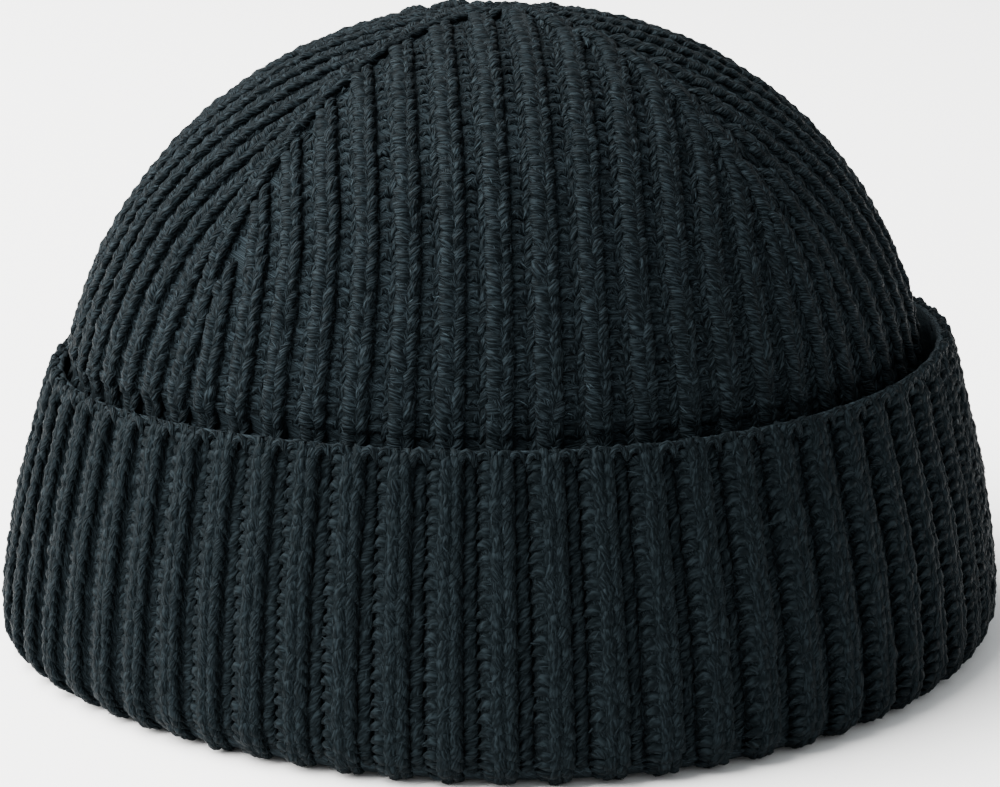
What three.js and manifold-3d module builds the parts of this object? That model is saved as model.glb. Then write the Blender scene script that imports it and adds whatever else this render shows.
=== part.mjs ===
// Knit hat in a chunky 1 by 1 rib: a rounded crown of four gores, hollow and open below, and a
// turned-up cuff with a rounded fold at the bottom and a free edge at the top.
// Millimetres, +Z up, the front towards -Y. The fold stands on z = 0 and the hat is centred on the Z axis.

import * as THREE from 'three';
import { mergeVertices } from 'three/addons/utils/BufferGeometryUtils.js';
import Module from 'manifold-3d';

// Knit
const RIBS = 64;
const GORES = 4;
const WALL = 4.2;
const CROWN_RIB_DEPTH = 2.0;
const CUFF_RIB_DEPTH = 1.8;
const INSIDE_RIB_DEPTH = 0.9;
// Columns of one rib, in shares of its width: the valley and the two sides of the raised band
const RIB_SECTION = [
  { across: 0.0, depth: 1 },
  { across: 0.28, depth: 0 },
  { across: 0.72, depth: 0 },
];

// Crown. It sits a little to the left in the cuff and leans to the right
const CROWN_CENTRE_Z = 55;
const CROWN_SHIFT_X = -1.8;
const CROWN_LEAN = 0.027;
// How far the outside is from the crown's centre, by the angle down from the top in degrees
const CROWN_ROUNDING = [
  { fromTop: 0, reach: 70.6 },
  { fromTop: 20, reach: 72.4 },
  { fromTop: 40, reach: 75.6 },
  { fromTop: 60, reach: 79.7 },
  { fromTop: 75, reach: 83.2 },
  { fromTop: 90, reach: 86.6 },
];
// Heights of the rows of points below the gores: where crown and cuff lie together, and in sight
const LAYER_ROWS = [27, 46];
const CROWN_SHOWN_ROWS = [54, 60.5, 65.5, 72, 79, 86];
// Inside, heights and then angles down from the top
const INSIDE_ROWS = [30, 52];
const INSIDE_CAP_ROWS = [72, 54, 36, 18];

// Gores. The front one's middle is turned to the right, and the ribs are widest at a gore's middle
const GORE_TURN_DEG = 3.3;
const RIB_SPREAD = 0.019;
// Above this radius the gores lose ribs along the decrease lines, which lie in a groove
const DECREASE_RADIUS = 70;
const DECREASE_GROOVE = 1.2;
// How far the ribs swing out as they turn there, and the part of it left a row further in
const RIB_SWING = 2.5;
const RIB_SWING_LEFT = 0.3;
const TOP_GATHER_DEPTH = 1.5;

// Cuff
const CUFF_HEIGHT = 60.2;
const CUFF_RIB_TURN_DEG = -1.06;
// Outer radius by height, as a share of the cuff's height
const CUFF_FLARE = [
  { up: 0.0, radius: 99.8 },
  { up: 0.12, radius: 100.4 },
  { up: 0.3, radius: 99.5 },
  { up: 0.55, radius: 97.0 },
  { up: 0.8, radius: 93.3 },
  { up: 1.0, radius: 90.3 },
];
// Waves round the hat: of the plan, as shares of the radius, and of the free edge's height
const CUFF_PLAN_WAVES = [
  { turns: 3, size: -0.017 },
  { turns: 4, size: 0.013 },
];
const CUFF_EDGE_WAVES = [
  { turns: 1, size: 1.2 },
  { turns: 3, size: 0.6 },
];
const PLAN_WAVES_LEFT_AT_EDGE = 0.3;
// Rows of points from the fold up the outer face, by height and by share of the cuff's height
const FOLD_SECTION = [
  { inset: 4.2, height: 0.0, depth: 0 },
  { inset: 1.3, height: 2.4, depth: 0.8 },
  { inset: 0.0, height: 6.5, depth: 1 },
];
const CUFF_WALL_ROWS = [0.32, 0.55, 0.78];
// Section of the free edge, over to the inner face
const EDGE_SECTION = [
  { inset: 0.0, below: 4.5, depth: 1 },
  { inset: 0.6, below: 1.3, depth: 0.8 },
  { inset: 2.0, below: 0.0, depth: 0.3 },
  { inset: 3.6, below: 0.9, depth: 0 },
];
// The fold is two layers of knit. It stands on a flat ring, from the first row above to this inset
const SEAT_INSET = 6.6;
const FOLD_HEIGHT = 8.0;
const FOLD_INNER_ROUNDING = 2.5;

// Fit of the crown inside the cuff, which presses it in below the free edge
const GAP = 0.35;
const LAYER_GAP = 0.45;
const PRESS_BLEND = 1.0;
const PRESS_FROM_Z = 40;
const BULGE_ABOVE_EDGE = 0.8;

// Puts the middle of the cuff's plan on the Z axis
const CENTRE_X = 1.58;

const SMOOTH_COLUMNS = 64;
const COLOUR = 0x1b2428;
const SAME_POINT = 1e-4;
const SEARCH_STEPS = 40;
const TURN = 2 * Math.PI;
const FRONT = -Math.PI / 2;
const RIB_STEP = TURN / RIBS;
const HALF_GORE_RIBS = RIBS / GORES / 2;
const GORE_TURN = THREE.MathUtils.degToRad(GORE_TURN_DEG);
const CUFF_RIB_TURN = THREE.MathUtils.degToRad(CUFF_RIB_TURN_DEG);

// Smooth curve through a table's rows, which are in the order of the column at
function tableCurve(rows, at, value) {
  const last = rows.length - 1;
  const slope = (k) => {
    const low = rows[Math.max(0, k - 1)];
    const high = rows[Math.min(last, k + 1)];
    return (high[value] - low[value]) / (high[at] - low[at]);
  };
  return (x) => {
    const here = THREE.MathUtils.clamp(x, rows[0][at], rows[last][at]);
    let i = 0;
    while (i < last - 1 && here > rows[i + 1][at]) i += 1;
    const width = rows[i + 1][at] - rows[i][at];
    const t = (here - rows[i][at]) / width;
    const rise = rows[i + 1][value] - rows[i][value];
    const start = width * slope(i) - rise;
    const end = rise - width * slope(i + 1);
    return rows[i][value] + rise * t + t * (1 - t) * ((1 - t) * start + t * end);
  };
}

const crownReach = tableCurve(CROWN_ROUNDING, 'fromTop', 'reach');
const cuffFlare = tableCurve(CUFF_FLARE, 'up', 'radius');

// Angle down from the crown's top, in degrees, where a measure of the outside gets past a limit
function crownAngleWhere(isPast) {
  let low = 0;
  let high = 90;
  for (let step = 0; step < SEARCH_STEPS; step += 1) {
    const middle = (low + high) / 2;
    const rad = THREE.MathUtils.degToRad(middle);
    const reach = crownReach(middle);
    if (isPast(reach * Math.sin(rad), reach * Math.cos(rad))) high = middle;
    else low = middle;
  }
  return high;
}

function polar(angle, radius, z) {
  return new THREE.Vector3(radius * Math.cos(angle), radius * Math.sin(angle), z);
}

function crownAxisX(z) {
  return CROWN_SHIFT_X + CROWN_LEAN * Math.max(0, z - CROWN_CENTRE_Z);
}

// A point over the crown's rounding, lifted off it by a small distance
function crownCapPoint(angle, fromTopDeg, lift) {
  const reach = crownReach(fromTopDeg) + lift;
  const fromTop = THREE.MathUtils.degToRad(fromTopDeg);
  const z = CROWN_CENTRE_Z + reach * Math.cos(fromTop);
  const point = polar(angle, reach * Math.sin(fromTop), z);
  point.x += crownAxisX(z);
  return point;
}

function waves(table, angle) {
  return table.reduce((sum, wave) => sum + wave.size * Math.cos(wave.turns * angle), 0);
}

function cuffTop(angle) {
  return CUFF_HEIGHT + waves(CUFF_EDGE_WAVES, angle);
}

function cuffRadius(angle, z) {
  const up = THREE.MathUtils.clamp(z / cuffTop(angle), 0, 1);
  const left = THREE.MathUtils.lerp(1, PLAN_WAVES_LEFT_AT_EDGE, up);
  return cuffFlare(up) * (1 + left * waves(CUFF_PLAN_WAVES, angle));
}

function cuffPoint(angle, z, inset) {
  return polar(angle, cuffRadius(angle, z) - inset, z);
}

// A point on the side of the crown, which follows the cuff's inner face at the bottom, is pressed in
// by the cuff below the free edge, and has its own rounding above it
function crownSidePoint(angle, z, lift) {
  const height = Math.max(0, z - CROWN_CENTRE_Z);
  const fromTopDeg = crownAngleWhere((radius, up) => up < height);
  const fromTop = THREE.MathUtils.degToRad(fromTopDeg);
  const own = polar(angle, crownReach(fromTopDeg) * Math.sin(fromTop), z);
  own.x += crownAxisX(z);
  const around = Math.atan2(own.y, own.x);
  const free = Math.hypot(own.x, own.y);
  const top = cuffTop(around);
  const held = cuffRadius(around, Math.min(z, top)) - WALL - LAYER_GAP
    + BULGE_ABOVE_EDGE * Math.max(0, z - top);
  const pressed = (free + held - Math.hypot(free - held, PRESS_BLEND)) / 2;
  const share = THREE.MathUtils.smoothstep(z, PRESS_FROM_Z, CROWN_CENTRE_Z);
  const radius = THREE.MathUtils.lerp(held, pressed, share);
  return polar(around, radius + lift * Math.sin(fromTop), z + lift * Math.cos(fromTop));
}

// Columns over a number of ribs, counted in ribs from the first valley
function ribColumns(from, count) {
  const columns = [];
  for (let rib = from; rib < from + count; rib += 1) {
    RIB_SECTION.forEach((part) => columns.push({ at: rib + part.across, depth: part.depth }));
  }
  return columns;
}

// Angle from a gore's middle of a column counted in ribs from there
function goreAngle(at) {
  const even = at * RIB_STEP;
  return even + RIB_SPREAD * Math.sin(GORES * even);
}

function goreMiddle(gore) {
  return FRONT + GORE_TURN + (gore * TURN) / GORES;
}

// Place of a column across its gore's plan, which it keeps above the bend at the decreases' start
function goreAcross(at, swing = 0) {
  const angle = goreAngle(at);
  const bend = swing * RIB_SWING * Math.cos(2 * angle) ** 2;
  return (DECREASE_RADIUS + bend) * Math.sin(angle);
}

function gorePoint(gore, out, across, lift) {
  const radius = Math.hypot(out, across);
  const fromTopDeg = crownAngleWhere((reached) => reached > radius);
  return crownCapPoint(goreMiddle(gore) + Math.atan2(across, out), fromTopDeg, lift);
}

// How far out from the middle the decreases start, at a place across the gore
function goreStart(across) {
  return Math.sqrt(DECREASE_RADIUS ** 2 - across ** 2);
}

function addTriangle(corners, a, b, c) {
  const narrow = Math.min(a.distanceTo(b), b.distanceTo(c), c.distanceTo(a));
  if (narrow > SAME_POINT) corners.push(a, b, c);
}

// A ring of points in the order of their angle from the front
function ring(placed) {
  const fromFront = (angle) => (((angle - FRONT) % TURN) + TURN) % TURN;
  return placed
    .map(({ angle, point }) => ({ angle: fromFront(angle), point }))
    .sort((a, b) => a.angle - b.angle);
}

function smoothRing(place, count = SMOOTH_COLUMNS) {
  const placed = [];
  for (let k = 0; k < count; k += 1) {
    const angle = FRONT + ((k + 0.5) * TURN) / count;
    placed.push({ angle, point: place(angle, k) });
  }
  return ring(placed);
}

// Joins two rings with triangles, also where one has more points than the other
function joinRings(corners, lower, upper) {
  const angleOf = (points, k) => points[k % points.length].angle + (k < points.length ? 0 : TURN);
  let i = 0;
  let j = 0;
  while (i < lower.length || j < upper.length) {
    const a = lower[i % lower.length].point;
    const b = upper[j % upper.length].point;
    const lowerFirst = angleOf(lower, i + 1) <= angleOf(upper, j + 1);
    if (j === upper.length || (i < lower.length && lowerFirst)) {
      addTriangle(corners, a, lower[(i + 1) % lower.length].point, b);
      i += 1;
    } else {
      addTriangle(corners, a, upper[(j + 1) % upper.length].point, b);
      j += 1;
    }
  }
}

function closedSkin(corners) {
  const numbers = new Float32Array(corners.length * 3);
  corners.forEach((point, k) => point.toArray(numbers, 3 * k));
  const loose = new THREE.BufferGeometry();
  loose.setAttribute('position', new THREE.BufferAttribute(numbers, 3));
  return mergeVertices(loose, 1e-3);
}

const wasm = await Module();
wasm.setup();

function toSolid(corners) {
  const skin = closedSkin(corners);
  return new wasm.Manifold(new wasm.Mesh({
    numProp: 3,
    vertProperties: Float32Array.from(skin.attributes.position.array),
    triVerts: Uint32Array.from(skin.index.array),
  }));
}

function toGeometry(solid) {
  const mesh = solid.getMesh();
  const geometry = new THREE.BufferGeometry();
  geometry.setAttribute('position', new THREE.BufferAttribute(mesh.vertProperties, 3));
  geometry.setIndex(new THREE.BufferAttribute(mesh.triVerts, 1));
  return geometry;
}

// Rows of a gore from the round where the decreases start to the square between the decrease lines,
// and then in by one rib at a time. A row says how far out it is at a place across the gore
function goreRows() {
  const square = goreAcross(HALF_GORE_RIBS);
  const halfway = (across) => (goreStart(across) + Math.max(square, Math.abs(across))) / 2;
  const rows = [{ outAt: goreStart, swing: 1 }, { outAt: halfway, swing: RIB_SWING_LEFT }];
  for (let rib = HALF_GORE_RIBS; rib >= 0; rib -= 1) {
    rows.push({ outAt: (across) => Math.max(goreAcross(rib), Math.abs(across)), swing: 0 });
  }
  return rows;
}

// The ribs run straight up a gore and end at the decrease lines
function addGore(corners, gore) {
  const columns = ribColumns(-HALF_GORE_RIBS, 2 * HALF_GORE_RIBS);
  columns.push({ at: HALF_GORE_RIBS, depth: 1 });
  const rows = goreRows();
  const place = (column, row) => {
    const across = goreAcross(column.at, row.swing);
    const out = row.outAt(across);
    const onLine = out - Math.abs(across) < SAME_POINT;
    const atTop = out < SAME_POINT;
    const ribDepth = column.depth * CROWN_RIB_DEPTH;
    const depth = onLine ? Math.max(ribDepth, DECREASE_GROOVE) : ribDepth;
    return gorePoint(gore, out, across, atTop ? -TOP_GATHER_DEPTH : -depth);
  };
  for (let r = 0; r + 1 < rows.length; r += 1) {
    for (let c = 0; c + 1 < columns.length; c += 1) {
      const a = place(columns[c], rows[r]);
      const b = place(columns[c + 1], rows[r]);
      const upperB = place(columns[c + 1], rows[r + 1]);
      const upperA = place(columns[c], rows[r + 1]);
      addTriangle(corners, a, b, upperB);
      addTriangle(corners, a, upperB, upperA);
    }
  }
}

// A ribbed ring round all four gores
function crownRing(place) {
  const placed = [];
  for (let gore = 0; gore < GORES; gore += 1) {
    ribColumns(-HALF_GORE_RIBS, 2 * HALF_GORE_RIBS).forEach((column) => {
      const angle = goreMiddle(gore) + goreAngle(column.at);
      placed.push({ angle, point: place(gore, column, angle) });
    });
  }
  return ring(placed);
}

function addFoot(corners, lowest) {
  const middle = new THREE.Vector3(0, 0, lowest[0].point.z);
  lowest.forEach(({ point }, k) => {
    addTriangle(corners, middle, lowest[(k + 1) % lowest.length].point, point);
  });
}

function crownOutside(bottomZ) {
  const rings = [bottomZ, ...LAYER_ROWS].map((z) => smoothRing((angle) => crownSidePoint(angle, z, 0)));
  CROWN_SHOWN_ROWS.forEach((z) => {
    rings.push(crownRing((gore, column, angle) => crownSidePoint(angle, z, -column.depth * CROWN_RIB_DEPTH)));
  });
  rings.push(crownRing((gore, column) => {
    const across = goreAcross(column.at, 1);
    return gorePoint(gore, goreStart(across), across, -column.depth * CROWN_RIB_DEPTH);
  }));
  const corners = [];
  addFoot(corners, rings[0]);
  for (let k = 0; k + 1 < rings.length; k += 1) joinRings(corners, rings[k], rings[k + 1]);
  for (let gore = 0; gore < GORES; gore += 1) addGore(corners, gore);
  return toSolid(corners);
}

// The hollow for the head, open below, with the backs of the ribs round it
function crownInside(bottomZ) {
  const lift = (k) => (k % 2) * INSIDE_RIB_DEPTH - WALL;
  const side = (z) => smoothRing((angle, k) => crownSidePoint(angle, z, lift(k)), 2 * RIBS);
  const cap = (fromTop) => smoothRing((angle, k) => crownCapPoint(angle, fromTop, lift(k)), 2 * RIBS);
  const rings = [bottomZ - GAP, ...INSIDE_ROWS].map(side).concat(INSIDE_CAP_ROWS.map(cap));
  const corners = [];
  addFoot(corners, rings[0]);
  for (let k = 0; k + 1 < rings.length; k += 1) joinRings(corners, rings[k], rings[k + 1]);
  const highest = rings[rings.length - 1];
  const top = crownCapPoint(0, 0, -WALL);
  highest.forEach(({ point }, k) => {
    addTriangle(corners, point, highest[(k + 1) % highest.length].point, top);
  });
  return toSolid(corners);
}

function makeCrown() {
  const bottomZ = FOLD_HEIGHT + GAP;
  return toGeometry(crownOutside(bottomZ).subtract(crownInside(bottomZ)));
}

function cuffRing(zAt, inset, depthShare) {
  const placed = ribColumns(0, RIBS).map((column) => {
    const angle = FRONT + CUFF_RIB_TURN + (column.at - 0.5) * RIB_STEP;
    const depth = column.depth * depthShare * CUFF_RIB_DEPTH;
    return { angle, point: cuffPoint(angle, zAt(angle), inset + depth) };
  });
  return ring(placed);
}

// The cuff's section runs from the seat up the outer face, over the free edge, down the inner face
// to the fold, over the fold's top and down its inner side back to the seat
function makeCuff() {
  const rings = FOLD_SECTION.map((row) => cuffRing(() => row.height, row.inset, row.depth));
  CUFF_WALL_ROWS.forEach((up) => rings.push(cuffRing((angle) => up * cuffTop(angle), 0, 1)));
  EDGE_SECTION.forEach((row) => {
    rings.push(cuffRing((angle) => cuffTop(angle) - row.below, row.inset, row.depth));
  });
  const foldInset = 2 * WALL + LAYER_GAP;
  const innerRows = [...LAYER_ROWS].reverse().map((z) => ({ z, inset: WALL }));
  innerRows.push({ z: FOLD_HEIGHT, inset: WALL });
  innerRows.push({ z: FOLD_HEIGHT, inset: foldInset });
  innerRows.push({ z: FOLD_INNER_ROUNDING, inset: foldInset });
  innerRows.push({ z: 0, inset: SEAT_INSET });
  innerRows.forEach(({ z, inset }) => rings.push(smoothRing((angle) => cuffPoint(angle, z, inset))));
  const corners = [];
  rings.forEach((points, k) => joinRings(corners, points, rings[(k + 1) % rings.length]));
  return toGeometry(toSolid(corners));
}

function knit(name, geometry) {
  const material = new THREE.MeshStandardMaterial({ color: COLOUR, roughness: 0.95, metalness: 0 });
  const mesh = new THREE.Mesh(geometry, material);
  mesh.name = name;
  mesh.position.x = CENTRE_X;
  return mesh;
}

const hat = new THREE.Group();
hat.add(knit('crown', makeCrown()));
hat.add(knit('cuff', makeCuff()));

export default hat;
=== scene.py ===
# Looks for a knit hat in a chunky 1 by 1 rib. Every stitch is a few short lengths of yarn, laid over a
# rounded rib and a backing shell, on the crown and on the turned-up cuff. Lengths are in millimetres
# until a mesh is made, and in metres for the floor, the light and the clipping of the camera.

import math

import bpy
import numpy as np
from mathutils import Matrix, Vector


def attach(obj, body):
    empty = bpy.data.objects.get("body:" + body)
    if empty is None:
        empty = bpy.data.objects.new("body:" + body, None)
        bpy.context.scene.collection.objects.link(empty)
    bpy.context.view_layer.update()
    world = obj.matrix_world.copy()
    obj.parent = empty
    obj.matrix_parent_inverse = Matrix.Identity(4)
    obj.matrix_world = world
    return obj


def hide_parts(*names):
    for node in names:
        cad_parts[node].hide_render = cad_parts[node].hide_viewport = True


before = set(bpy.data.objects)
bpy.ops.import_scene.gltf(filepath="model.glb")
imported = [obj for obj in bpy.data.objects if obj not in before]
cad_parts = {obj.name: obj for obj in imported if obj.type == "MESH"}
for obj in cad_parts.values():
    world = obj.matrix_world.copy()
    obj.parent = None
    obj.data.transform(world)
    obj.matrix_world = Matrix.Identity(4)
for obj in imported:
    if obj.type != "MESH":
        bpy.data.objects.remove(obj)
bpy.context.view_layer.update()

SEED = 7
rng = np.random.default_rng(SEED)

FRONT = -math.pi / 2
TURN = 2 * math.pi
WIDEST = math.pi / 2
MM = 0.001
TINY = 1e-9

# Knit, as in the solids
RIBS = 64
GORES = 4
RIBS_PER_GORE = RIBS // GORES
RIB_PLACES = [rib - RIBS_PER_GORE / 2 + 0.5 for rib in range(RIBS_PER_GORE)]
WALL = 4.2
CROWN_CENTRE_Z = 55.0
CROWN_SHIFT_X = -1.8
CROWN_LEAN = 0.027
CENTRE_X = 1.58
GORE_TURN = math.radians(3.3)
RIB_SPREAD = 0.019
SWING_REACH = 10.0
CUFF_HEIGHT = 60.2
CUFF_RIB_TURN = math.radians(-1.06)
LAYER_GAP = 0.45
PRESS_BLEND = 1.0
BULGE_ABOVE_EDGE = 0.8
HELD_BELOW = 40.0
FREE_ABOVE = 55.0
FOLD_HEIGHT = 8.0

# Crown's reach by the angle from its top (degrees), and cuff's radius by the share of its height
CROWN_ANGLES = (0, 20, 40, 60, 75, 90)
CROWN_REACHES = (70.6, 72.4, 75.6, 79.7, 83.2, 86.6)
CUFF_SHARES = (0.0, 0.12, 0.3, 0.55, 0.8, 1.0)
CUFF_RADII = (99.8, 100.4, 99.5, 97.0, 93.3, 90.3)

# Waves of the cuff round the hat, in the height of its edge and in its outline
TOP_TILT = 1.2
TOP_WAVE = 0.6
OUTLINE_WAVE_3 = -0.017
OUTLINE_WAVE_4 = 0.013
WAVE_FADE = 0.7


def table_curve(at, values):
    """Smooth curve through the rows of a table, the same as in the solids."""
    at = np.array(at, float)
    values = np.array(values, float)
    low = np.maximum(np.arange(len(at)) - 1, 0)
    high = np.minimum(np.arange(len(at)) + 1, len(at) - 1)
    slopes = (values[high] - values[low]) / (at[high] - at[low])

    def curve(x):
        x = np.clip(x, at[0], at[-1])
        i = np.clip(np.searchsorted(at, x, side="right") - 1, 0, len(at) - 2)
        width = at[i + 1] - at[i]
        t = (x - at[i]) / width
        rise = values[i + 1] - values[i]
        start = width * slopes[i] - rise
        end = rise - width * slopes[i + 1]
        return values[i] + rise * t + t * (1 - t) * ((1 - t) * start + t * end)

    return curve


def control_curve(points, t):
    """Smooth curve through control points, which are evenly spaced from t 0 to 1."""
    points = np.asarray(points, float)
    spans = len(points) - 1
    i = np.minimum((t * spans).astype(int), spans - 1)
    f = (t * spans - i)[:, None]
    p0 = points[np.maximum(i - 1, 0)]
    p1 = points[i]
    p2 = points[i + 1]
    p3 = points[np.minimum(i + 2, spans)]
    first = (p2 - p0) * f
    second = (2 * p0 - 5 * p1 + 4 * p2 - p3) * f**2
    third = (3 * p1 - p0 - 3 * p2 + p3) * f**3
    return 0.5 * (2 * p1 + first + second + third)


def smooth_step(x, low, high):
    """Smooth rise from 0 at low to 1 at high."""
    t = np.clip((x - low) / (high - low), 0, 1)
    return t * t * (3 - 2 * t)


def unit(vectors):
    return vectors / np.maximum(np.linalg.norm(vectors, axis=-1, keepdims=True), TINY)


crown_reach = table_curve(CROWN_ANGLES, CROWN_REACHES)
cuff_flare = table_curve(CUFF_SHARES, CUFF_RADII)

# Plan radius of the crown by the angle from its top, in steps of a twentieth of a degree
FROM_TOP_POINTS = 1801
FROM_TOP = np.radians(np.linspace(0, 90, FROM_TOP_POINTS))
PLAN_RADIUS = crown_reach(np.degrees(FROM_TOP)) * np.sin(FROM_TOP)


def from_top_at(radius):
    return np.interp(radius, PLAN_RADIUS, FROM_TOP)


def cuff_top(angle):
    return CUFF_HEIGHT + TOP_TILT * np.cos(angle) + TOP_WAVE * np.cos(3 * angle)


def cuff_radius(angle, z):
    up = np.clip(z / cuff_top(angle), 0, 1)
    waves = OUTLINE_WAVE_3 * np.cos(3 * angle) + OUTLINE_WAVE_4 * np.cos(4 * angle)
    return cuff_flare(up) * (1 + (1 - WAVE_FADE * up) * waves)


def crown_point(azimuth, from_top, lift=0.0):
    """A point over the crown, by its azimuth round the crown's axis and its angle down from the top."""
    reach = crown_reach(np.degrees(from_top))
    radius = reach * np.sin(from_top)
    z = CROWN_CENTRE_Z + reach * np.cos(from_top)
    x = radius * np.cos(azimuth) + CROWN_SHIFT_X + CROWN_LEAN * np.maximum(0, z - CROWN_CENTRE_Z)
    y = radius * np.sin(azimuth)
    around = np.arctan2(y, x)
    free = np.hypot(x, y)
    top = cuff_top(around)
    held = cuff_radius(around, np.minimum(z, top)) - WALL - LAYER_GAP
    held = held + BULGE_ABOVE_EDGE * np.maximum(0, z - top)
    pressed = (free + held - np.hypot(free - held, PRESS_BLEND)) / 2
    share = smooth_step(z, HELD_BELOW, FREE_ABOVE)
    out = held + (pressed - held) * share + lift * np.sin(from_top)
    return np.stack([out * np.cos(around) + CENTRE_X, out * np.sin(around), z + lift * np.cos(from_top)], -1)


def gore_angle(at):
    even = at * TURN / RIBS
    return even + RIB_SPREAD * np.sin(GORES * even)


def gore_middle(gore):
    return FRONT + GORE_TURN + gore * TURN / GORES


class Paths:
    """Lines that the ribs follow, each with its points, its directions and the width of its rib."""

    STEP = 0.4
    SMOOTHED = 5

    def __init__(self):
        self.rows = []

    def add(self, points, outward, width):
        steps = np.linalg.norm(np.diff(points, axis=0), axis=1)
        length = np.concatenate([[0], np.cumsum(steps)])
        at = np.arange(0, length[-1] + self.STEP, self.STEP)
        centre = np.stack([np.interp(at, length, points[:, k]) for k in range(3)], 1)
        up = np.stack([np.interp(at, length, outward[:, k]) for k in range(3)], 1)
        along = unit(np.gradient(centre, axis=0))
        kernel = np.ones(self.SMOOTHED) / self.SMOOTHED
        margin = self.SMOOTHED // 2
        for k in range(3):
            along[margin:-margin, k] = np.convolve(along[:, k], kernel, "valid")
        along = unit(along)
        side = unit(np.cross(along, up))
        self.rows.append({
            "centre": centre,
            "along": along,
            "side": side,
            "out": unit(np.cross(side, along)),
            "width": np.interp(at, length, width),
            "length": length[-1],
        })

    def close(self):
        """Joins the lines into arrays, in which the shorter lines repeat their last values."""
        longest = max(len(row["centre"]) for row in self.rows)

        def padded(part):
            lines = []
            for row in self.rows:
                missing = longest - len(row[part])
                lines.append(np.concatenate([row[part], np.repeat(row[part][-1:], missing, axis=0)]))
            return np.array(lines)

        self.centre = padded("centre")
        self.along = padded("along")
        self.side = padded("side")
        self.out = padded("out")
        self.width = padded("width")
        self.length = np.array([row["length"] for row in self.rows])
        self.count = np.array([len(row["centre"]) for row in self.rows])
        return self

    def width_at(self, path, s):
        i = np.clip((s / self.STEP).astype(int), 0, self.count[path] - 1)
        return self.width[path, i]

    def place(self, path, s, x, depth, pitch):
        """Points at a distance s along a path, x to its side for a rib of that pitch, and a depth."""
        inside = np.clip(s, 0, self.length[path])
        at = inside / self.STEP
        i = np.minimum(at.astype(int), self.count[path] - 2)
        t = at - i

        def mixed(values, share):
            return values[path, i] * (1 - share) + values[path, i + 1] * share

        width = mixed(self.width, t)
        along = mixed(self.along, t[..., None])
        side = mixed(self.side, t[..., None])
        out = mixed(self.out, t[..., None])
        point = mixed(self.centre, t[..., None]) + along * (s - inside)[..., None]
        point = point + side * (x * width / pitch)[..., None] + out * depth[..., None]
        return point, unit(out)


# Corners round a length of yarn by their number, as angles from its under side
CORNERS = {
    6: np.radians([0, 78, 132, 180, 228, 282]),
    5: np.radians([0, 90, 150, 210, 270]),
}

# Strand pattern of each length of yarn, shifted by a random distance round it and a share of that along it
PATTERN_SHIFT = 400
SHIFT_ALONG = 0.37

# Fine fibres on the yarn (mm and degrees)
HAIR_LENGTH = (1.1, 2.4)
HAIR_WIDTH = (0.16, 0.26)
HAIR_PLACE = 180
HAIR_PLACE_SPREAD = 48
HAIR_SPREAD = 22.0
HAIR_LEAN = 7.0
HAIR_OFF = 0.05


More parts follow.
